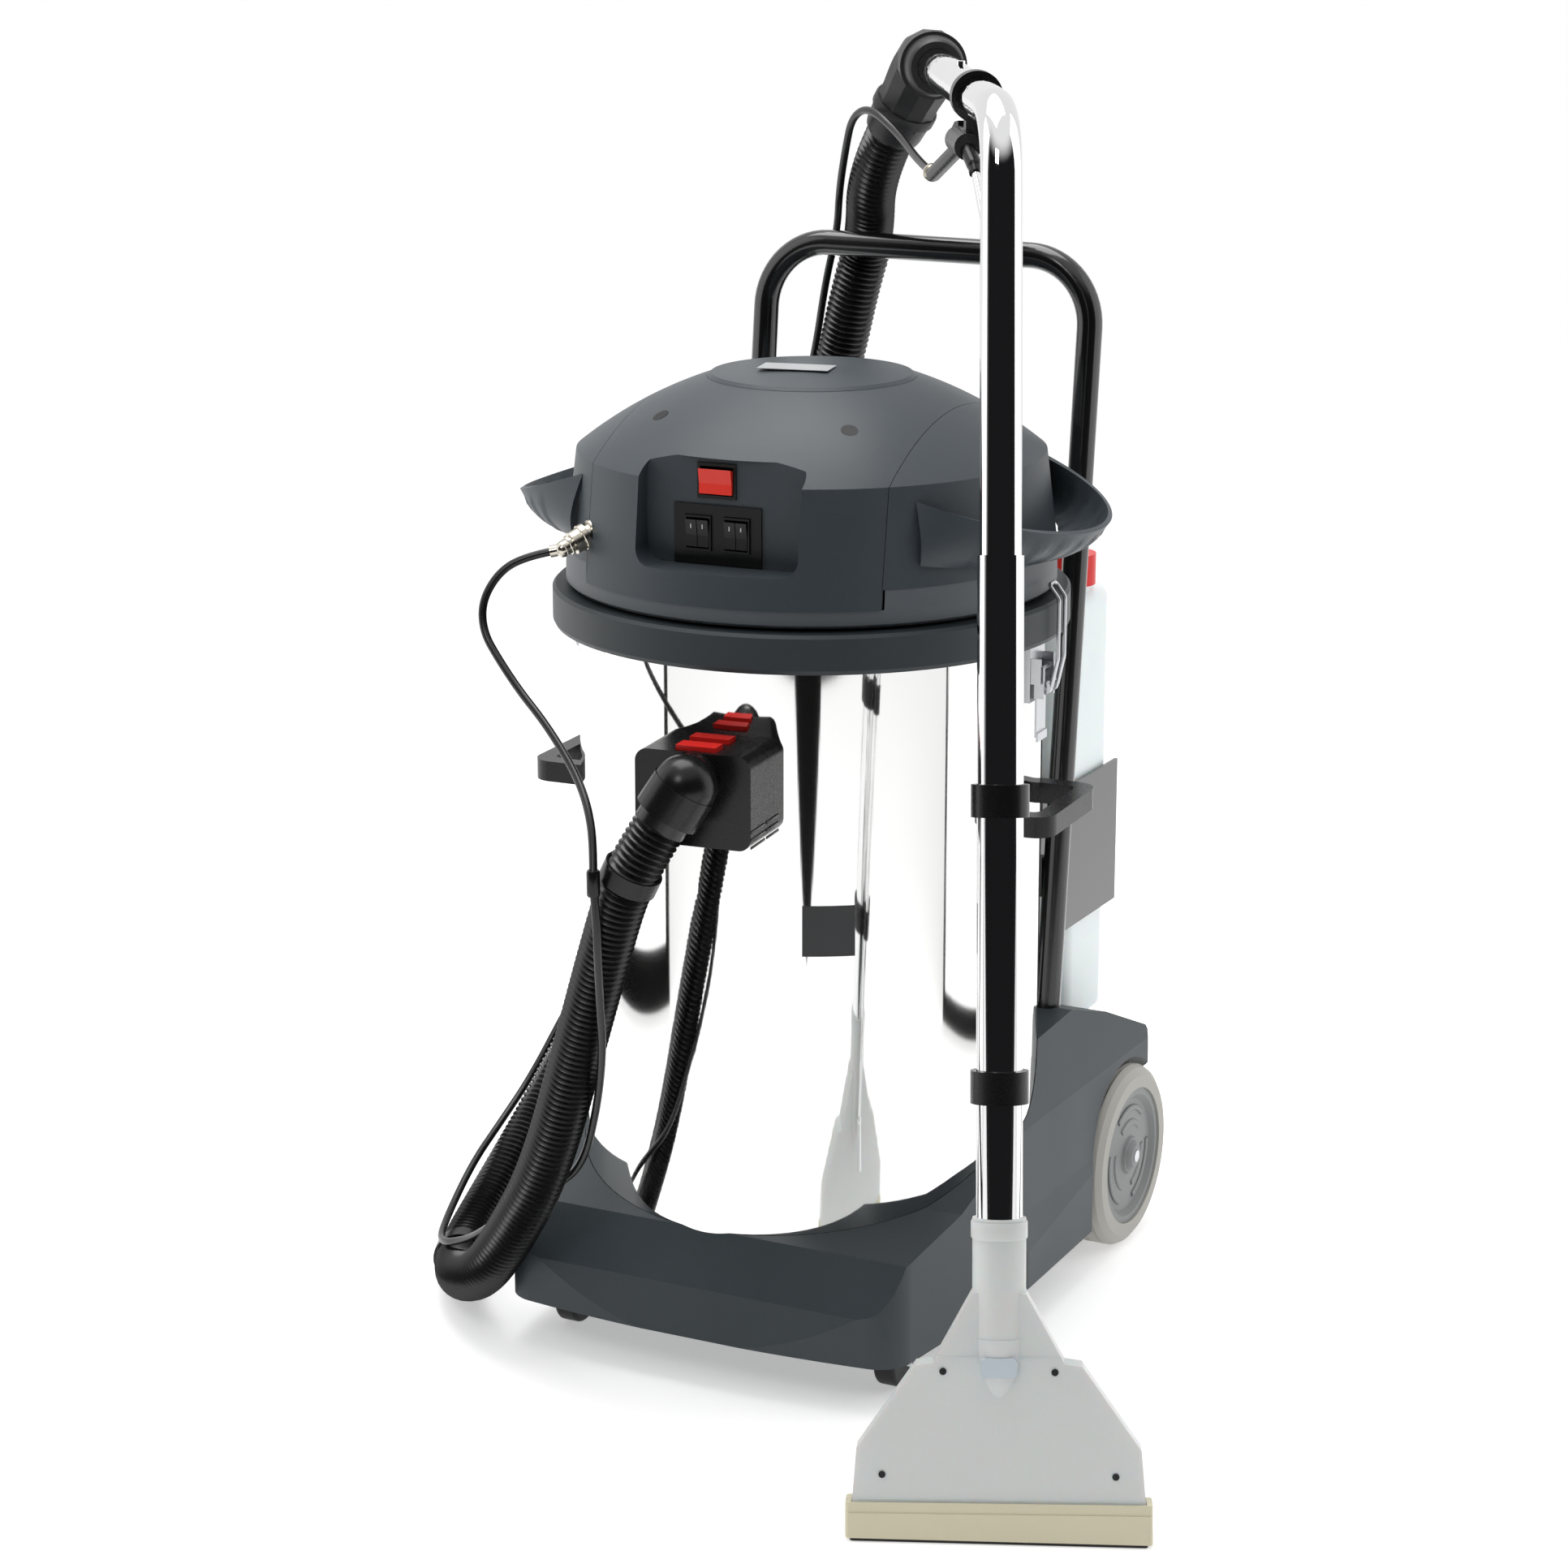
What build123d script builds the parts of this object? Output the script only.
from build123d import *
import math
import os

# Wet extraction vacuum on a wheeled base, in millimetres, +Z up.
# The model is drawn about the tank's axis with the floor at z = 0, the front
# towards -Y and the wand on the +X side. At the end everything is moved so
# that the origin is the centre of the object's footprint.

# Tank
TANK_R = 220
TANK_WALL = 1.5
TANK_FLOOR_Z = 100
TANK_TOP_Z = 716
TANK_TURN = 3          # the tank stands turned by this angle in its base
INLET_TURN = 5.5       # direction of the inlet, from -Y towards +X
INLET_Z = 578
INLET_SIZE = (111, 86)
RIM_R = 244
RIM_BOTTOM_Z = 684
RIM_TOP_Z = 720

# Motor head
HEAD_R = 233
HEAD_RING_R = 231
HEAD_RING_Z = 723
COVER_FRONT_Z = 739
COVER_REAR_Z = 757
COVER_WALL = 3
CREASE_R = 220
CREASE_Z = 847
TOP_DISC_R = 97
TOP_DISC_Z = 914
SEAM_X = 146           # half width of the middle panel that runs over the head
SEAM_GAP = 0.5
RECESS_HALF = 80
RECESS_Z = (768, 866)
RECESS_BACK_Y = -188
SWITCH_X = -9
COUPLING_TURN = -41

# Base
BASE_BOTTOM_Z = 45
BASE_HALF = 234
WHEEL_R = 93
WHEEL_Y = 268
WHEEL_IN_X = 187
WHEEL_OUT_X = 233
AXLE_R = 6
CASTER_R = 25
CASTER_X = 171
CASTER_Y = -152
CASTER_TRAIL = 14

# Push handle and solution can
HANDLE_X = 175
HANDLE_TUBE_R = 12.5
HANDLE_BEND = 66
HANDLE_LOW = (166.8, 200)      # y, z of a post's foot
HANDLE_TOP = (255, 1002)       # y, z of the top bar
CAN_HALF = 154
CAN_Y = (262, 378)
CAN_Z = (215, 665)
CAP_AT = (130, 320)

# Wand: a straight tube that leans back on its floor tool, then a bent tube
TOOL_FOOT = Vector(389, -416, 0)
LEAN = 12.8
LEAN_TURN = 27
TOOL_TURN = 23.6
TOOL_WIDTH = 262
WAND_LOW_R = 20
WAND_TOP_R = 18
WAND_CORNER = Vector(267.3, -177.1, 1180)
WAND_END = Vector(43, 175, 1185)
WAND_BEND = 62
ELBOW_KNEE = WAND_END + (WAND_END - WAND_CORNER) * 0.125
ELBOW_END = Vector(-27, 236, 1124)
ELBOW_R = 31
BUTTON_AT = 250                # from the corner, along the bent tube's back part
VALVE_LEFT = 10
PIPE_R = 4
PIPE_BACK = WAND_LOW_R + 10    # thin pipe's distance behind the tube's axis

# Floor tool; heights run up the wand from the tool's foot
SOCKET_TOP = 274
SLEEVE_AT = 838
CLIPS_AT = (616, 372)
TOOL_OUTLINE = [(23, 211), (56, 151), (71, 149), (121.5, 77), (125.7, 25)]
TOOL_HALF_DEPTH = 15
STRIP_TOP = 22
SOLE_Z = 3

# Hoses, each as the points of its route
SUCTION_D = 49
SUCTION_ROUTE = [
    (19, -322, 571), (-3, -332, 532), (-22, -332, 494), (-42, -326, 440), (-77, -313, 342),
    (-127, -295, 204), (-179, -276, 122), (-222, -254, 70), (-268, -214, 42), (-306, -166, 28),
    (-330, -112, 30), (-341, -34, 58), (-335, 70, 130), (-300, 170, 270), (-245, 250, 450),
    (-198, 300, 630), (-158, 322, 785), (-128, 320, 875), (-106, 309, 950), (-87, 303, 1003),
    (-60.57, 249.59, 1074.7), (-27, 236, 1124),
]
SOLUTION_D = 7.5
LOWER_ROUTE = [
    (-165, -204, 768), (-186, -214, 763), (-206, -226, 750), (-217, -240, 724), (-212, -247, 697),
    (-192, -254, 675), (-164, -264, 650), (-134, -276, 630), (-106, -290, 609), (-80, -306, 588),
    (-58, -326, 567), (-42, -346, 542), (-34, -361, 514),
]
UPPER_ROUTE = [
    (-34, -361, 508), (-31, -361, 474), (-32, -358, 438), (-37.5, -345.5, 390), (-46, -326.5, 342),
    (-70, -297, 274), (-100, -273, 204), (-150, -252, 166), (-193, -242, 138), (-238, -222, 100),
    (-276, -198, 74), (-320, -178, 56), (-345, -122, 59), (-362, -43, 88), (-370, 24, 107),
    (-367, 84, 140), (-352, 131, 200), (-330, 183, 271), (-302, 227, 360), (-273, 268, 450),
    (-246, 297, 540), (-224, 318, 631), (-206, 329, 710), (-186, 336, 790), (-159, 325, 880),
    (-136, 302, 956), (-116, 288, 1010), (-99, 257.5, 1054), (-80, 232.5, 1098), (-62, 210, 1132),
    (-32, 188, 1144), (18, 150, 1122), (64, 92, 1106), (100, 42, 1103),
]
HOSE_CLIP_AT = (1, 9, 15)      # indices of SUCTION_ROUTE beside which a clip sits
HOSE_NODES = ("suction_hose", "solution_hose_lower", "solution_hose_upper", "hose_clips")

VOLUME_NOTES = []


def turned(shape, angle=TANK_TURN):
    """Turn a piece about the tank's axis."""
    return Rot(0, 0, angle) * shape


def ring(r_in, r_out, z0, z1):
    """A flat ring about the tank's axis."""
    return Pos(0, 0, z0) * extrude(Circle(r_out) - Circle(r_in), z1 - z0)


def rod(start, end, radius):
    """A round bar between two points."""
    start, end = Vector(*start), Vector(*end)
    run = end - start
    return Plane(origin=start, z_dir=run) * extrude(Circle(radius), run.length)


def pipe(start, end, r_out, r_in):
    """A straight hollow tube between two points."""
    start, end = Vector(*start), Vector(*end)
    run = end - start
    return Plane(origin=start, z_dir=run) * extrude(Circle(r_out) - Circle(r_in), run.length)


def bar(x0, x1, y0, y1, z0, z1):
    """A box between two corners."""
    return Pos((x0 + x1) / 2, (y0 + y1) / 2, (z0 + z1) / 2) * Box(x1 - x0, y1 - y0, z1 - z0)


def lathe(points):
    """A solid of revolution about the tank's axis, from (radius, z) points."""
    outline = Polyline(*[(r, 0, z) for r, z in points], close=True)
    return revolve(make_face(outline), Axis.Z)


def mirrored(shape):
    """The same piece on the other side of the machine."""
    return mirror(shape, about=Plane.YZ)


def arc_radii(points):
    """The largest bend radius that each corner's two runs leave room for."""
    radii = []
    for before, here, after in zip(points, points[1:], points[2:]):
        first, second = here - before, after - here
        half_turn = math.radians(first.get_angle(second)) / 2
        radii.append(0.45 * min(first.length, second.length) / math.tan(half_turn))
    return radii


def hose(name, route, diameter):
    """A plain tube along straight runs joined by tangent arcs."""
    points = [Vector(*p) for p in route]
    radii = arc_radii(points)
    path = FilletPolyline(*points, radius=radii)
    section = Plane(origin=points[0], z_dir=points[1] - points[0]) * Circle(diameter / 2)
    tube = sweep(section, path=path)
    expected = math.pi * diameter ** 2 / 4 * path.length
    tightest = min(radii) / diameter
    VOLUME_NOTES.append(f"{name}: length {path.length:.0f} mm, radii {[round(r) for r in radii]}")
    VOLUME_NOTES.append(f"{name}: tightest {tightest:.1f} diameters, volume ratio {tube.volume / expected:.4f}")
    return tube


# Base, wheels and casters

def base_outline(inset=0):
    """Plan of the moulded base: bowed front, sides that flare to the rear."""
    w = BASE_HALF - inset
    y_front = -238 + inset
    outline = Polyline((-206 + inset, y_front), (-w, 0), (-w + 8, 345 - inset), (w - 8, 345 - inset), (w, 0),
                       (206 - inset, y_front))
    front = ThreePointArc((206 - inset, y_front), (0, -253 + inset), (-206 + inset, y_front))
    face = make_face([outline, front])
    return fillet(face.vertices(), 34)


def base_shell():
    """The moulded base: low wall in front, rising beside the tank to a rear shelf."""
    block = Pos(0, 0, BASE_BOTTOM_Z) * extrude(base_outline(), 250)
    side = make_face(Polyline((-260, BASE_BOTTOM_Z), (-252, BASE_BOTTOM_Z), (-243, 92), (-219, 142), (-125, 162),
                              (-63, 190), (0, 240), (60, 268), (170, 273), (245, 250), (329, 213), (346, 178),
                              (352, BASE_BOTTOM_Z), close=True))
    side_block = Plane.YZ * extrude(side, 250, both=True)
    front = make_face(Polyline((-240, BASE_BOTTOM_Z), (-228, 120), (-222, 200), (-200, 285), (200, 285), (222, 200),
                               (228, 120), (240, BASE_BOTTOM_Z), close=True))
    front_block = Plane.XZ * extrude(front, 400, both=True)
    shell = block & side_block & front_block
    shell -= Pos(0, 0, TANK_FLOOR_Z) * Cylinder(TANK_R + 0.4, 300, align=(Align.CENTER, Align.CENTER, Align.MIN))
    hollow = Pos(0, 0, BASE_BOTTOM_Z - 1) * extrude(base_outline(13), 42)
    hollow &= bar(-184 + 5, 184 - 5, 150, 400, 0, 200) + bar(-300, 300, -300, 155, 0, 200)
    shell -= hollow
    for side_sign in (-1, 1):
        arch = rod((side_sign * 185, WHEEL_Y, WHEEL_R), (side_sign * 260, WHEEL_Y, WHEEL_R), WHEEL_R + 7)
        shell -= arch
        shell -= bar(*sorted((side_sign * 185, side_sign * 260)), WHEEL_Y - WHEEL_R - 7, 400, 0, WHEEL_R)
        boss = Pos(side_sign * CASTER_X, CASTER_Y, 64) * Cylinder(20, 28, align=(Align.CENTER, Align.CENTER, Align.MIN))
        shell += boss
        shell -= Pos(side_sign * CASTER_X, CASTER_Y, 60) * Cylinder(5.06, 26, align=(Align.CENTER, Align.CENTER, Align.MIN))
        foot_y, foot_z = HANDLE_LOW
        top_y, top_z = HANDLE_TOP
        shell -= rod((side_sign * HANDLE_X, foot_y, foot_z), (side_sign * HANDLE_X, top_y, top_z), HANDLE_TUBE_R + 0.2)
    shell -= bar(-160, 160, CAN_Y[0] - 4, 420, CAN_Z[0] - 0.3, 400)
    shell -= bar(-150, 150, 232, 338, BASE_BOTTOM_Z - 1, CAN_Z[0] - 10)
    shell -= rod((-300, WHEEL_Y, WHEEL_R), (300, WHEEL_Y, WHEEL_R), AXLE_R)
    return shell


def rear_axle():
    return rod((-WHEEL_OUT_X - 4, WHEEL_Y, WHEEL_R), (WHEEL_OUT_X + 4, WHEEL_Y, WHEEL_R), AXLE_R)


def wheel_tyre():
    """Tyre with rounded shoulders and two grooves round its tread."""
    half = (WHEEL_OUT_X - WHEEL_IN_X) / 2
    section = Polyline((70, -half), (84, -half), (91, -half + 6), (93, -half + 12), (93, -6), (91, -4), (93, -2),
                       (93, 8), (91, 10), (93, 12), (90, half - 5), (83, half), (70, half), close=True)
    tyre = revolve(make_face(Plane.XZ * section), Axis.Z)
    centre = (WHEEL_IN_X + WHEEL_OUT_X) / 2
    return Pos(centre, WHEEL_Y, WHEEL_R) * Rot(0, 90, 0) * tyre


def wheel_hub():
    """Dished hub with a bearing sleeve on the axle."""
    half = (WHEEL_OUT_X - WHEEL_IN_X) / 2 - 2
    bore = AXLE_R + 0.05
    section = Polyline((bore, -half), (14, -half), (14, 2), (58, 8), (62, -half), (70, -half), (70, half),
                       (63, half), (58, half - 5), (20, half - 3), (18, half), (bore, half), close=True)
    hub = revolve(make_face(Plane.XZ * section), Axis.Z)
    centre = (WHEEL_IN_X + WHEEL_OUT_X) / 2
    return Pos(centre, WHEEL_Y, WHEEL_R) * Rot(0, 90, 0) * hub


def caster_fork(side):
    """Swivel fork: a stem in the base's boss, a top plate and two cheeks."""
    x, y = side * CASTER_X, CASTER_Y
    fork = Pos(x, y, 55) * Cylinder(19, 5, align=(Align.CENTER, Align.CENTER, Align.MIN))
    fork += Pos(x, y, 60) * Cylinder(5, 24, align=(Align.CENTER, Align.CENTER, Align.MIN))
    wheel_y = y - CASTER_TRAIL
    for cheek in (-1, 1):
        inner = cheek * 12
        outer = cheek * 15
        x0, x1 = sorted((x + inner, x + outer))
        plate = make_face(Polyline((y + 14, 56), (y - 16, 56), (wheel_y - 9, CASTER_R), (wheel_y + 5, CASTER_R - 8),
                                   (y + 12, 44), close=True))
        fork += Pos(x0, 0, 0) * (Plane.YZ * extrude(plate, x1 - x0))
    fork += rod((x - 12, wheel_y, CASTER_R), (x + 12, wheel_y, CASTER_R), 4)
    return fork


def caster_wheel(side):
    x, y = side * CASTER_X, CASTER_Y - CASTER_TRAIL
    wheel = rod((x - 11, y, CASTER_R), (x + 11, y, CASTER_R), CASTER_R)
    wheel = fillet(wheel.edges().filter_by(GeomType.CIRCLE), 4)
    return wheel - rod((x - 20, y, CASTER_R), (x + 20, y, CASTER_R), 4.05)


# Tank and its fittings

def drum():
    """Polished steel tank, open at the top, with a port behind the inlet."""
    tank = Pos(0, 0, TANK_FLOOR_Z) * extrude(Circle(TANK_R), TANK_TOP_Z - TANK_FLOOR_Z)
    tank -= Pos(0, 0, TANK_FLOOR_Z + 2) * extrude(Circle(TANK_R - TANK_WALL), TANK_TOP_Z)
    port = rod((0, -TANK_R - 20, INLET_Z), (0, -TANK_R + 20, INLET_Z), 24)
    return tank - turned(port, INLET_TURN)


def rim_ring():
    """Moulded band over the tank's top edge."""
    section = [(TANK_R, RIM_BOTTOM_Z), (RIM_R - 2, RIM_BOTTOM_Z), (RIM_R, RIM_BOTTOM_Z + 4), (RIM_R, RIM_TOP_Z - 3),
               (RIM_R - 3, RIM_TOP_Z), (212, RIM_TOP_Z), (212, TANK_TOP_Z), (TANK_R, TANK_TOP_Z)]
    return lathe(section)


def tank_gasket():
    return ring(214, 220, RIM_TOP_Z, RIM_TOP_Z + 2.6)


def rounded_block(width, height, y0, y1, radius):
    """A block with rounded corners, standing out of the tank along -Y."""
    face = Plane.XZ * RectangleRounded(width, height, radius)
    return Pos(0, y0, 0) * extrude(face, y0 - y1)


def inlet_housing():
    """Rear half of the hose connector, saddled on the tank."""
    width, height = INLET_SIZE
    block = Pos(0, 0, INLET_Z) * rounded_block(width, height, -200, -256, 12)
    block -= Pos(0, 0, INLET_Z) * rod((0, -190, 0), (0, -300, 0), 24)
    block -= bar(-20, 20, -254, -236, INLET_Z + height / 2 - 10, INLET_Z + height / 2 + 1)
    block -= Cylinder(TANK_R, 2000)
    return turned(block, INLET_TURN)


def inlet_button():
    """Red release button in the rear half's top."""
    top = INLET_Z + INLET_SIZE[1] / 2
    return turned(bar(-19, 19, -253, -237, top - 5.5, top + 4), INLET_TURN)


def hose_connector():
    """Front half of the connector, with the spigot that carries the hose."""
    width, height = INLET_SIZE
    block = Pos(0, 0, INLET_Z) * rounded_block(width, height, -256, -292, 12)
    block -= Pos(0, 0, INLET_Z) * rod((0, -250, 0), (0, -282, 0), 24)
    pocket = turned(bar(-20, 20, -286, -266, INLET_Z + height / 2 - 10, INLET_Z + height / 2 + 1), INLET_TURN)
    block = turned(block, INLET_TURN)
    exit_point = Vector(*SUCTION_ROUTE[0])
    hose_run = (Vector(*SUCTION_ROUTE[1]) - exit_point).normalized()
    knee = exit_point - hose_run * 30
    spigot = rod((28, -285, knee.Z), knee, 25)
    return block + spigot + Pos(knee) * Sphere(29) + rod(knee, exit_point, 30) - pocket


def connector_button():
    """Red release button in the front half's top."""
    top = INLET_Z + INLET_SIZE[1] / 2
    return turned(bar(-19, 19, -285, -267, top - 5.5, top + 4), INLET_TURN)


def drum_handles():
    """Two looped carry handles riveted to the sides of the tank."""
    loop = Pos(0, 0, 512) * extrude(RectangleRounded(2 * 267, 136, 20) - RectangleRounded(2 * 250, 102, 8), 20)
    loop -= Cylinder(TANK_R, 2000)
    return [turned(part) for part in loop.solids()]


def latch_brackets():
    """Plates that carry the latch levers."""
    plate = bar(TANK_R - 6, 228, -19, 19, 626, 678) - Cylinder(TANK_R, 2000)
    for ear in (-1, 1):
        ear_plate = bar(226, 238, ear * 17 - 1, ear * 17 + 1, 644, 668)
        plate += ear_plate
    plate += rod((233, -18, 656), (233, 18, 656), 2.5)
    return [turned(plate), turned(mirrored(plate))]


def latch_lever():
    """Zinc lever, hung from the bracket's pin."""
    lever = bar(230.5, 232.3, -12, 12, 592, 650)
    lever += bar(232, 234, -12, 12, 588, 596)
    for ear in (-1, 1):
        lever += bar(230.5, 240, ear * 13 - 1.5, ear * 13 + 1.5, 630, 660)
    lever -= rod((233, -20, 656), (233, 20, 656), 2.55)
    lever += rod((239, -12, 640), (239, 12, 640), 2)
    return lever


def latch_wire():
    """Wire bail from the lever, up outside the rim to the head's ring."""
    rise = [(245, 641), (251, 668), (251, 724), (241, 737)]
    corners = [(x, -8, z) for x, z in rise] + [(x, 8, z) for x, z in reversed(rise)]
    path = FilletPolyline(*corners, radius=(12, 8, 3.5, 3.5, 8, 12))
    start = Plane(origin=corners[0], z_dir=Vector(*corners[1]) - Vector(*corners[0]))
    wire = sweep(start * Circle(1.8), path=path)
    for y in (-8, 8):
        eye = rod((239, y - 2.4, 640), (239, y + 2.4, 640), 6.4)
        wire += eye
    return wire - rod((239, -20, 640), (239, 20, 640), 2.05)


# Push handle, can holder and solution can

def push_handle():
    """One bent tube: two leaning posts and a top bar."""
    (y0, z0), (y1, z1) = HANDLE_LOW, HANDLE_TOP
    corners = [(-HANDLE_X, y0, z0), (-HANDLE_X, y1, z1), (HANDLE_X, y1, z1), (HANDLE_X, y0, z0)]
    path = FilletPolyline(*corners, radius=HANDLE_BEND)
    start = Plane(origin=corners[0], z_dir=Vector(*corners[1]) - Vector(*corners[0]))
    return sweep(start * (Circle(HANDLE_TUBE_R) - Circle(HANDLE_TUBE_R - 2)), path=path)


def can_holder():
    """Black plates, screwed to the posts, that hold the can between them."""
    plate = bar(156, 159.3, 186, 383, 326, 475)
    plate += bar(156, 162, 184, 196, 380, 420)
    holder = plate + mirrored(plate) + bar(-159, 159, 246, 249, 380, 420)
    posts = rod((HANDLE_X, *HANDLE_LOW), (HANDLE_X, *HANDLE_TOP), HANDLE_TUBE_R)
    return holder - posts - mirrored(posts)


def solution_can():
    """Blow-moulded can with a filler neck."""
    width, depth = 2 * CAN_HALF, CAN_Y[1] - CAN_Y[0]
    middle_y = (CAN_Y[0] + CAN_Y[1]) / 2
    height = CAN_Z[1] - CAN_Z[0]
    can = Pos(0, middle_y, CAN_Z[0]) * extrude(RectangleRounded(width, depth, 24), height)
    can = fillet(can.faces().sort_by(Axis.Z)[-1].edges(), 18)
    can = fillet(can.faces().sort_by(Axis.Z)[0].edges(), 8)
    inside = Pos(0, middle_y, CAN_Z[0] + 3) * extrude(RectangleRounded(width - 6, depth - 6, 21), height - 6)
    inside = fillet(inside.faces().sort_by(Axis.Z)[-1].edges(), 15)
    neck = Pos(*CAP_AT, CAN_Z[1] - 3) * Cylinder(20, 23, align=(Align.CENTER, Align.CENTER, Align.MIN))
    mouth = Pos(*CAP_AT, CAN_Z[1] - 10) * Cylinder(16, 40, align=(Align.CENTER, Align.CENTER, Align.MIN))
    return can - inside + neck - mouth


def can_cap():
    """Red screw cap over the neck."""
    cap = Pos(*CAP_AT, CAN_Z[1] + 3) * Cylinder(25, 31, align=(Align.CENTER, Align.CENTER, Align.MIN))
    return cap - Pos(*CAP_AT, CAN_Z[1]) * Cylinder(20.3, 20.4, align=(Align.CENTER, Align.CENTER, Align.MIN))


# Motor head

def head_base_ring():
    """Tray that closes the tank and carries the motors."""
    tray = lathe([(0, HEAD_RING_Z), (HEAD_RING_R - 3, HEAD_RING_Z), (HEAD_RING_R, HEAD_RING_Z + 3),
                  (HEAD_RING_R, COVER_FRONT_Z - 0.3), (226, COVER_FRONT_Z - 0.3), (226, HEAD_RING_Z + 6),
                  (0, HEAD_RING_Z + 6)])
    collar = lathe([(226, COVER_FRONT_Z - 0.3), (HEAD_RING_R, COVER_FRONT_Z - 0.3),
                    (HEAD_RING_R - 1, COVER_REAR_Z - 0.3), (226, COVER_REAR_Z - 0.3)])
    collar -= strip(SEAM_X + 2)
    return turned(tray + collar)


def strip(half_width):
    """The space between two upright planes either side of the middle."""
    return bar(-half_width, half_width, -600, 600, 0, 2000)


def dome(offset, bottom_z):
    """Head cover's outer form, moved inwards by an offset."""
    draft = (HEAD_R - CREASE_R) / (CREASE_Z - COVER_FRONT_Z)
    rim = HEAD_R - offset - draft * (bottom_z - COVER_FRONT_Z)
    crease = CREASE_R - offset
    top_z = TOP_DISC_Z - offset
    wall = Polyline((TOP_DISC_R, top_z), (0, top_z), (0, bottom_z), (rim, bottom_z), (crease, CREASE_Z - offset))
    shoulder = ThreePointArc((crease, CREASE_Z - offset), (165 - offset, 884 - offset), (TOP_DISC_R, top_z))
    return revolve(Plane.XZ * make_face([wall, shoulder]), Axis.Z)


def coupling_ends():
    """Inner and outer end of the quick coupling, in line with its hose."""
    hose_start = Vector(*LOWER_ROUTE[0])
    hose_run = (Vector(*LOWER_ROUTE[1]) - hose_start).normalized()
    inner = (Rot(0, 0, COUPLING_TURN + TANK_TURN) * Pos(0, -214, 788)).position
    return inner, hose_start - hose_run * 12


def coupling_seat():
    """Space of the round hole in which the quick coupling sits."""
    inner, outer = coupling_ends()
    run = outer - inner
    return rod(inner - run, outer + run, 12.5)


def head_front_cover():
    """Middle panel, from front to back, with the control recess let into its front."""
    outer = dome(0, COVER_FRONT_Z)
    inner = dome(COVER_WALL, COVER_FRONT_Z - 1)
    z0, z1 = RECESS_Z
    pocket_depth = HEAD_R + RECESS_BACK_Y
    face = Plane.XZ * Pos(0, (z0 + z1) / 2) * RectangleRounded(2 * RECESS_HALF, z1 - z0, 16)
    pocket = Pos(0, RECESS_BACK_Y, 0) * extrude(face, pocket_depth + 20)
    wall_face = Plane.XZ * Pos(0, (z0 + z1) / 2) * RectangleRounded(2 * RECESS_HALF + 6, z1 - z0 + 6, 19)
    wall_block = Pos(0, RECESS_BACK_Y + 3, 0) * extrude(wall_face, pocket_depth + 20)
    panel = (outer - inner) + (wall_block & outer)
    panel -= pocket
    panel &= strip(SEAM_X)
    panel -= Pos(0, 0, 800) * Cylinder(TOP_DISC_R + 1, 400)
    for rocker_x, rocker_z, width, height in rocker_places():
        panel -= bar(rocker_x - width / 2 - 2, rocker_x + width / 2 + 2, RECESS_BACK_Y - 1, RECESS_BACK_Y + 5,
                     rocker_z - height / 2 - 2, rocker_z + height / 2 + 2)
    return turned(panel) - coupling_seat()


def head_rear_cover():
    """Side shells of the head; the quick coupling's hole is cut in the left one's edge."""
    shell = dome(0, COVER_REAR_Z) - dome(COVER_WALL, COVER_REAR_Z - 1)
    shell -= strip(SEAM_X + SEAM_GAP)
    shell -= Pos(0, 0, 800) * Cylinder(TOP_DISC_R + 1, 400)
    return turned(shell) - coupling_seat()


def head_top_cap():
    """Round cap over the top of the head."""
    cap = lathe([(0, TOP_DISC_Z - 4), (TOP_DISC_R + 0.7, TOP_DISC_Z - 4), (TOP_DISC_R + 0.7, TOP_DISC_Z),
                 (TOP_DISC_R - 3, TOP_DISC_Z + 3), (0, TOP_DISC_Z + 8)])
    return turned(cap)


def carry_grips():
    """Looped grips either side of the head."""
    cone = Pos(139, 0, COVER_REAR_Z + 4) * Cone(155, 141, 40, align=(Align.CENTER, Align.CENTER, Align.MIN))
    cone -= Pos(139, 0, 700) * Cylinder(132, 400, align=(Align.CENTER, Align.CENTER, Align.MIN))
    cone -= dome(0, COVER_REAR_Z - 10)
    loop = max(cone.solids(), key=lambda solid: solid.center().X)
    return [turned(loop), turned(mirrored(loop))]


def cover_screws():
    """Screws that hold the cover, sunk into the dome."""
    screws = []
    for angle in (-38, 36, 142, -142):
        x = 157 * math.sin(math.radians(angle))
        y = -157 * math.cos(math.radians(angle))
        screws.append(turned(Pos(x, y, 868) * Cylinder(5, 24)))
    return screws


def rocker_places():
    """Centre (x, z) and size of each rocker: one wide switch over two twin pairs."""
    places = [(SWITCH_X - 1, 845, 32, 25)]
    for pair in (-1, 1):
        for half in (-1, 1):
            places.append((SWITCH_X + pair * 19 + half * 5.7, 797, 10.6, 27))
    return places


def switch_plate():
    """Black plate behind the rockers, with a bezel round each."""
    plate = bar(SWITCH_X - 43, SWITCH_X + 43, RECESS_BACK_Y - 2, RECESS_BACK_Y, 768.5, 823)
    plate += bar(SWITCH_X - 20, SWITCH_X + 18, RECESS_BACK_Y - 2, RECESS_BACK_Y, 829, 861)
    plate += bar(SWITCH_X - 32, SWITCH_X - 6, RECESS_BACK_Y - 4, RECESS_BACK_Y, 781, 813)
    plate += bar(SWITCH_X + 6, SWITCH_X + 32, RECESS_BACK_Y - 4, RECESS_BACK_Y, 781, 813)
    for x, z, width, height in rocker_places():
        plate -= bar(x - width / 2 - 0.35, x + width / 2 + 0.35, RECESS_BACK_Y - 8, RECESS_BACK_Y + 8,
                     z - height / 2 - 0.6, z + height / 2 + 0.6)
    return [turned(part) for part in plate.solids()]


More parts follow.
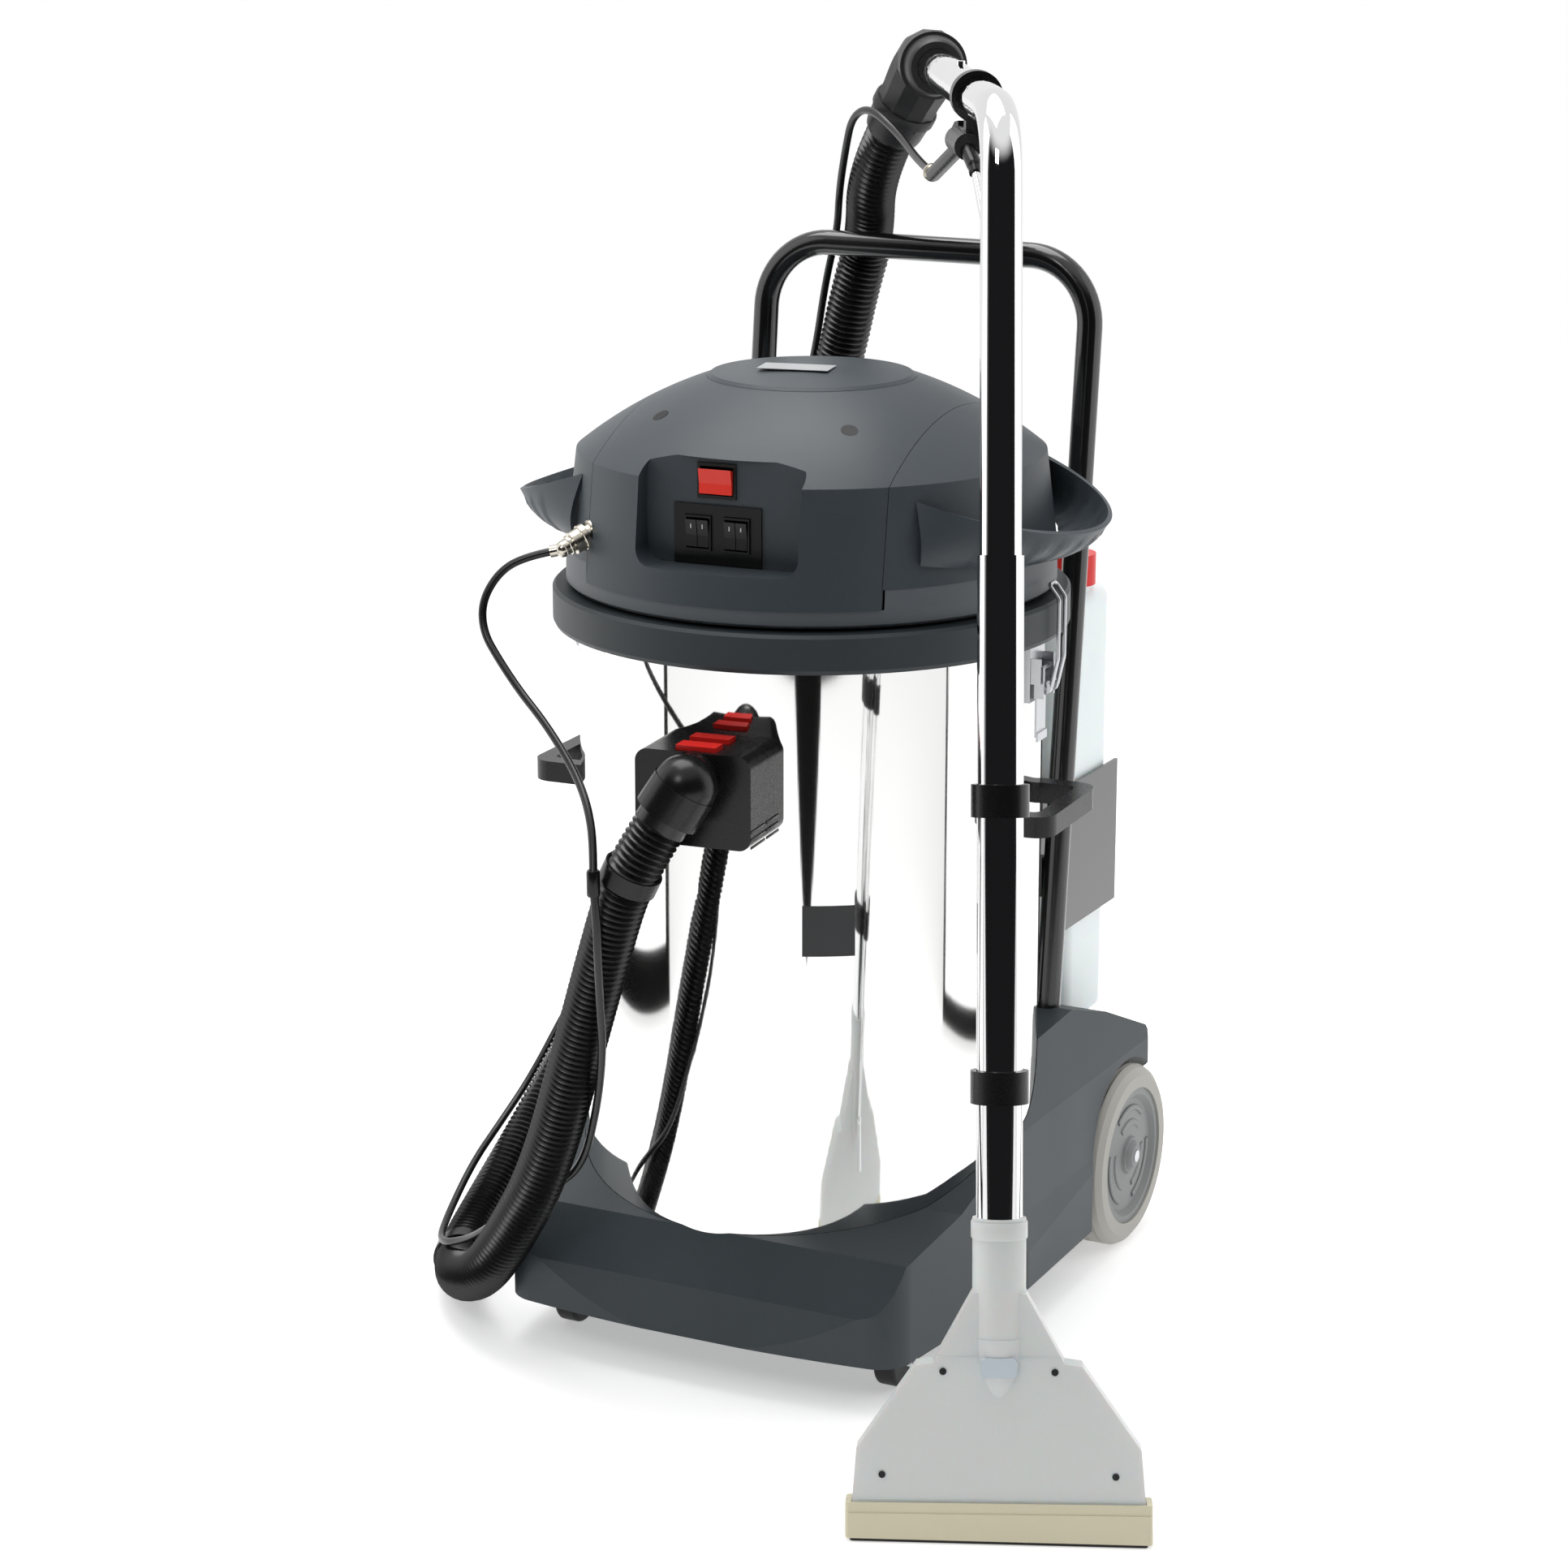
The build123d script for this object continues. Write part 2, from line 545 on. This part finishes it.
def rocker(place):
    """A rocker key, pressed in at its lower half."""
    x, z, width, height = place
    face_y = RECESS_BACK_Y - 4.5
    profile = Polyline((face_y - 2.5, z + height / 2 - 1), (face_y, z - 2), (face_y, z - height / 2 + 1),
                       (RECESS_BACK_Y + 3, z - height / 2 + 4), (RECESS_BACK_Y + 3, z + height / 2 - 4), close=True)
    key = Pos(x - width / 2, 0, 0) * (Plane.YZ * extrude(make_face(profile), width))
    return turned(key)


def vacuum_motors():
    """Two by-pass vacuum motors on the tray."""
    motors = []
    for side in (-1, 1):
        motor = Pos(side * 78, 40, HEAD_RING_Z + 6) * Cylinder(66, 50, align=(Align.CENTER, Align.CENTER, Align.MIN))
        motor += Pos(side * 78, 40, HEAD_RING_Z + 56) * Cylinder(45, 60, align=(Align.CENTER, Align.CENTER, Align.MIN))
        motors.append(turned(motor))
    return motors


def solution_pump():
    """Small vibrating pump behind the coupling."""
    pump = bar(-120, -60, -135, -95, HEAD_RING_Z + 6, HEAD_RING_Z + 50)
    pump += rod((-60, -115, HEAD_RING_Z + 28), (-30, -115, HEAD_RING_Z + 28), 14)
    return turned(pump)


def float_cage():
    """Ribbed cage under the tray that keeps water out of the motors."""
    cage = Pos(0, 0, HEAD_RING_Z - 100) * extrude(Circle(60) - Circle(56), 100)
    cage += Pos(0, 0, HEAD_RING_Z - 100) * extrude(Circle(60), 3)
    for index in range(6):
        slot = Pos(0, 0, HEAD_RING_Z - 50) * Rot(0, 0, 30 * index) * Box(140, 18, 70)
        cage -= slot
    return turned(cage)


def float_ball():
    return turned(Pos(0, 0, HEAD_RING_Z - 97 + 27) * Sphere(27))


def quick_coupling():
    """Nickel-plated socket, sleeve and barbed plug of the solution line."""
    inner, outer = coupling_ends()
    run = outer - inner
    body = rod(inner, inner + run * 0.38, 9)
    body += rod(inner + run * 0.38, inner + run * 0.75, 11)
    body += rod(inner + run * 0.75, outer, 7.5)
    return body + Pos(outer) * Sphere(7.5) + rod(outer, LOWER_ROUTE[0], 5.5)


# Hoses

def hose_clip(index):
    """A strap that holds the solution hose against the suction hose."""
    here = Vector(*SUCTION_ROUTE[index])
    along = Vector(*SUCTION_ROUTE[index + 1]) - Vector(*SUCTION_ROUTE[index])
    middle = here + along * 0.5
    plane = Plane(origin=middle, z_dir=along)
    width = 17
    strap = plane * Pos(0, 0, -width / 2) * extrude(Circle(27) - Circle(SUCTION_D / 2 + 0.2), width)
    return strap


def hose_clips():
    return [hose_clip(index) for index in HOSE_CLIP_AT]


# Wand and floor tool

def wand_axis():
    """Direction of the straight tube, up and leaning back."""
    lean = math.radians(LEAN)
    turn = math.radians(LEAN_TURN)
    return Vector(-math.sin(turn) * math.sin(lean), math.cos(turn) * math.sin(lean), math.cos(lean))


def tool_plane():
    """Tool's frame at its foot: x along the mouth, z up the tube."""
    turn = math.radians(TOOL_TURN)
    return Plane(origin=TOOL_FOOT, x_dir=Vector(math.cos(turn), math.sin(turn), 0), z_dir=wand_axis())


def on_wand(distance):
    """A point on the straight tube, at a distance from the tool's foot."""
    return TOOL_FOOT + wand_axis() * distance


def wand_lower_tube():
    return pipe(on_wand(SOCKET_TOP - 60), on_wand(SLEEVE_AT), WAND_LOW_R, WAND_LOW_R - 1.2)


def wand_upper_tube():
    """Bent tube from the sleeve joint to the elbow."""
    start = on_wand(SLEEVE_AT)
    path = FilletPolyline(start, WAND_CORNER, WAND_END, radius=WAND_BEND)
    section = Plane(origin=start, z_dir=wand_axis()) * (Circle(WAND_TOP_R) - Circle(WAND_TOP_R - 1.2))
    frame = handle_frame()
    button_hole = rod(frame.from_local_coords(Vector(0, 0, BUTTON_AT)),
                      frame.from_local_coords(Vector(0, 30, BUTTON_AT)), 4.4)
    return sweep(section, path=path) - button_hole


def wand_elbow():
    """Moulded swivel elbow between the bent tube and the hose."""
    path = FilletPolyline(WAND_END, ELBOW_KNEE, ELBOW_END, radius=26)
    section = Plane(origin=WAND_END, z_dir=ELBOW_KNEE - WAND_END) * Circle(ELBOW_R)
    return sweep(section, path=path)


def handle_frame():
    """Frame of the bent tube's back part: z runs back to the elbow, y is up, x is left."""
    along = WAND_END - WAND_CORNER
    side = Vector(0, 0, 1).cross(along)
    return Plane(origin=WAND_CORNER, x_dir=side, z_dir=along)


def pipe_route():
    """The solution pipe: from the valve to the back of the tube, down to the jet."""
    valve_end = handle_frame().from_local_coords(Vector(6, -62, 104))
    frame = tool_plane()
    top = frame.from_local_coords(Vector(0, PIPE_BACK, 1050))
    bottom = frame.from_local_coords(Vector(0, PIPE_BACK, 165))
    return [valve_end, top, bottom]


def wand_valve():
    """Solution valve hung under the bent tube, with its two fittings."""
    frame = handle_frame()
    clamp = frame * Pos(0, 0, 142) * extrude(Circle(23) - Circle(WAND_TOP_R), 14)
    neck = frame * Pos(4, -28, 149) * Box(12, 16, 14)
    body = frame * Pos(VALVE_LEFT, -42, 128) * Cylinder(12, 62, align=(Align.CENTER, Align.CENTER, Align.MIN))
    hose_end = Vector(*UPPER_ROUTE[-1])
    hose_run = (hose_end - Vector(*UPPER_ROUTE[-2])).normalized()
    inlet_knee = hose_end + hose_run * 16
    inlet = rod(hose_end, inlet_knee, 6) + Pos(inlet_knee) * Sphere(7)
    inlet += rod(inlet_knee, frame.from_local_coords(Vector(VALVE_LEFT, -46, 172)), 7)
    pipe_start = pipe_route()[0]
    pipe_run = (pipe_route()[1] - pipe_start).normalized()
    outlet_knee = pipe_start - pipe_run * 10
    outlet = rod(outlet_knee, pipe_start, 6) + Pos(outlet_knee) * Sphere(7)
    outlet += rod(frame.from_local_coords(Vector(VALVE_LEFT, -44, 132)), outlet_knee, 7)
    return clamp + neck + body + inlet + outlet


def valve_trigger():
    """Trigger lever behind the valve."""
    frame = handle_frame()
    outline = Polyline((0, -26.5), (-24, -30), (-56, -44), (-58, -56), (-52, -60), (-24, -44), (0, -35), close=True)
    shifted = make_face(Plane.XY * outline)
    blade = extrude(shifted, 9, both=True)
    lever = frame * Pos(0, 0, 199) * Rot(0, 90, 0) * blade
    return lever


def wand_snap_button():
    """Spring button that locks the bent tube in the elbow."""
    frame = handle_frame()
    centre = frame.from_local_coords(Vector(0, WAND_TOP_R - 6, BUTTON_AT))
    top = frame.from_local_coords(Vector(0, WAND_TOP_R + 3.5, BUTTON_AT))
    return rod(centre, top, 4)


def solution_pipe():
    """Thin pipe down the back of the wand to the spray jet."""
    route = pipe_route()
    path = FilletPolyline(*route, radius=60)
    line = sweep(Plane(origin=route[0], z_dir=route[1] - route[0]) * Circle(PIPE_R), path=path)
    jet_end = tool_plane().from_local_coords(Vector(0, PIPE_BACK + 14, 112))
    return line + Pos(route[-1]) * Sphere(7.5) + rod(route[-1], jet_end, 6)


def wand_clips():
    """Snap clips that hold the solution pipe to the tube."""
    frame = tool_plane()
    clips = []
    for height in CLIPS_AT:
        loop = extrude(Circle(WAND_LOW_R + 5) - Circle(WAND_LOW_R), 28)
        arm = Pos(0, PIPE_BACK, 0) * extrude(Circle(PIPE_R + 4), 28) - extrude(Circle(WAND_LOW_R + 1), 28)
        clip = loop + arm - Pos(0, PIPE_BACK, 0) * extrude(Circle(PIPE_R), 28)
        clip = frame * Pos(0, 0, height) * clip
        clips.append(clip)
    return clips


def tool_fan(inset, y0, y1, bottom):
    """The tool's flat fan, between two depths, inset all round."""
    right = [(x - inset, z - inset * 0.4) for x, z in TOOL_OUTLINE]
    right.append((TOOL_OUTLINE[-1][0] - inset, bottom))
    left = [(-x, z) for x, z in reversed(right)]
    slab = extrude(make_face(Polyline(*right, *left, close=True)), y1 - y0)
    return Pos(0, y1, 0) * (Plane.XZ * slab)


def floor_tool():
    """Translucent wide-mouth tool with a round socket."""
    fan = tool_fan(0, -TOOL_HALF_DEPTH, TOOL_HALF_DEPTH, STRIP_TOP)
    fan -= tool_fan(3, 3 - TOOL_HALF_DEPTH, TOOL_HALF_DEPTH - 3, STRIP_TOP - 1)
    socket = Pos(0, 0, 170) * extrude(Circle(23), SOCKET_TOP - 170)
    tool = fan + socket
    tool -= Pos(0, 0, SOCKET_TOP - 60) * extrude(Circle(WAND_LOW_R), 80)
    tool -= Pos(0, 0, 150) * extrude(Circle(WAND_LOW_R - 3), 80)
    return tool_plane() * tool


def tool_screws():
    """Screws that join the tool's two halves."""
    frame = tool_plane()
    screws = []
    for x, z in ((-47.6, 144), (47.6, 144), (-99.5, 55), (99.5, 55)):
        screws.append(frame * Pos(x, -TOOL_HALF_DEPTH - 0.5, z) * Rot(90, 0, 0) * Cylinder(3, 1))
    return screws


def squeegee():
    """Mouth strip with a slot, cut level where it stands on the floor."""
    slot = RectangleRounded(TOOL_WIDTH - 24, 16, 4)
    strip = Pos(0, 0, -8) * extrude(RectangleRounded(TOOL_WIDTH, 37, 4) - slot, STRIP_TOP + 8)
    tool_seat = Rectangle(2 * TOOL_OUTLINE[-1][0] + 0.4, 2 * TOOL_HALF_DEPTH + 0.4)
    strip += Pos(0, 0, STRIP_TOP) * extrude(RectangleRounded(TOOL_WIDTH, 35, 4) - tool_seat, 9)
    strip = tool_plane() * strip
    return strip - bar(0, 900, -900, 0, -60, SOLE_Z)


def squeegee_rubber():
    """Rubber lip along the strip's front and back, flat on the floor."""
    lip = extrude(RectangleRounded(TOOL_WIDTH - 8, 33, 3) - RectangleRounded(TOOL_WIDTH - 20, 20, 3), 40)
    lip = tool_plane() * Pos(0, 0, -20) * lip
    return lip & bar(0, 900, -900, 0, 0, SOLE_Z)


def as_list(shape):
    return list(shape) if isinstance(shape, (list, tuple)) else [shape]


def build_nodes():
    """Every sub-part by name, drawn about the tank's axis."""
    tyre, hub, lever, wire = wheel_tyre(), wheel_hub(), latch_lever(), latch_wire()
    nodes = {
        "base_shell": base_shell(), "rear_axle": rear_axle(),
        "wheel_tyre_right": tyre, "wheel_tyre_left": mirrored(tyre),
        "wheel_hub_right": hub, "wheel_hub_left": mirrored(hub),
        "caster_fork_right": caster_fork(1), "caster_fork_left": caster_fork(-1),
        "caster_wheel_right": caster_wheel(1), "caster_wheel_left": caster_wheel(-1),
        "push_handle": push_handle(), "can_holder": can_holder(),
        "solution_can": solution_can(), "can_cap": can_cap(),
        "drum": drum(), "rim_ring": rim_ring(), "tank_gasket": tank_gasket(),
        "inlet_housing": inlet_housing(), "inlet_button": inlet_button(),
        "hose_connector": hose_connector(), "connector_button": connector_button(),
        "drum_handles": drum_handles(), "latch_brackets": latch_brackets(),
        "latch_lever_right": turned(lever), "latch_lever_left": turned(mirrored(lever)),
        "latch_wire_right": turned(wire), "latch_wire_left": turned(mirrored(wire)),
        "head_base_ring": head_base_ring(), "head_front_cover": head_front_cover(),
        "head_rear_cover": head_rear_cover(), "head_top_cap": head_top_cap(),
        "carry_grips": carry_grips(), "cover_screws": cover_screws(),
        "switch_plate": switch_plate(),
        "vacuum_motors": vacuum_motors(), "solution_pump": solution_pump(),
        "float_cage": float_cage(), "float_ball": float_ball(), "quick_coupling": quick_coupling(),
        "suction_hose": hose("suction hose", SUCTION_ROUTE, SUCTION_D),
        "solution_hose_lower": hose("lower solution hose", LOWER_ROUTE, SOLUTION_D),
        "solution_hose_upper": hose("upper solution hose", UPPER_ROUTE, SOLUTION_D),
        "hose_clips": hose_clips(),
        "wand_lower_tube": wand_lower_tube(), "wand_upper_tube": wand_upper_tube(),
        "wand_elbow": wand_elbow(), "wand_valve": wand_valve(), "valve_trigger": valve_trigger(),
        "wand_snap_button": wand_snap_button(), "solution_pipe": solution_pipe(), "wand_clips": wand_clips(),
        "floor_tool": floor_tool(), "tool_screws": tool_screws(),
        "squeegee_strip": squeegee(), "squeegee_rubber": squeegee_rubber(),
    }
    names = ("power_rocker", "vacuum_rocker_one", "vacuum_rocker_two", "pump_rocker_one", "pump_rocker_two")
    for name, place in zip(names, rocker_places()):
        nodes[name] = rocker(place)
    return nodes


def footprint_centre(nodes):
    """Middle of the object's plan, measured without its hoses."""
    boxes = [part.bounding_box() for name, shape in nodes.items() if name not in HOSE_NODES
             for part in as_list(shape)]
    x = (min(box.min.X for box in boxes) + max(box.max.X for box in boxes)) / 2
    y = (min(box.min.Y for box in boxes) + max(box.max.Y for box in boxes)) / 2
    return Vector(x, y, 0)


if __name__ == "__main__":
    nodes = build_nodes()
    shift = footprint_centre(nodes) * -1
    os.makedirs("parts", exist_ok=True)
    for name, shape in nodes.items():
        solids = [Pos(shift) * part for part in as_list(shape)]
        export_step(solids[0] if len(solids) == 1 else Compound(children=solids), f"parts/{name}.step")
    print(f"tank axis at {shift.X:.3f}, {shift.Y:.3f}; {len(nodes)} nodes")
    for note in VOLUME_NOTES:
        print(note)
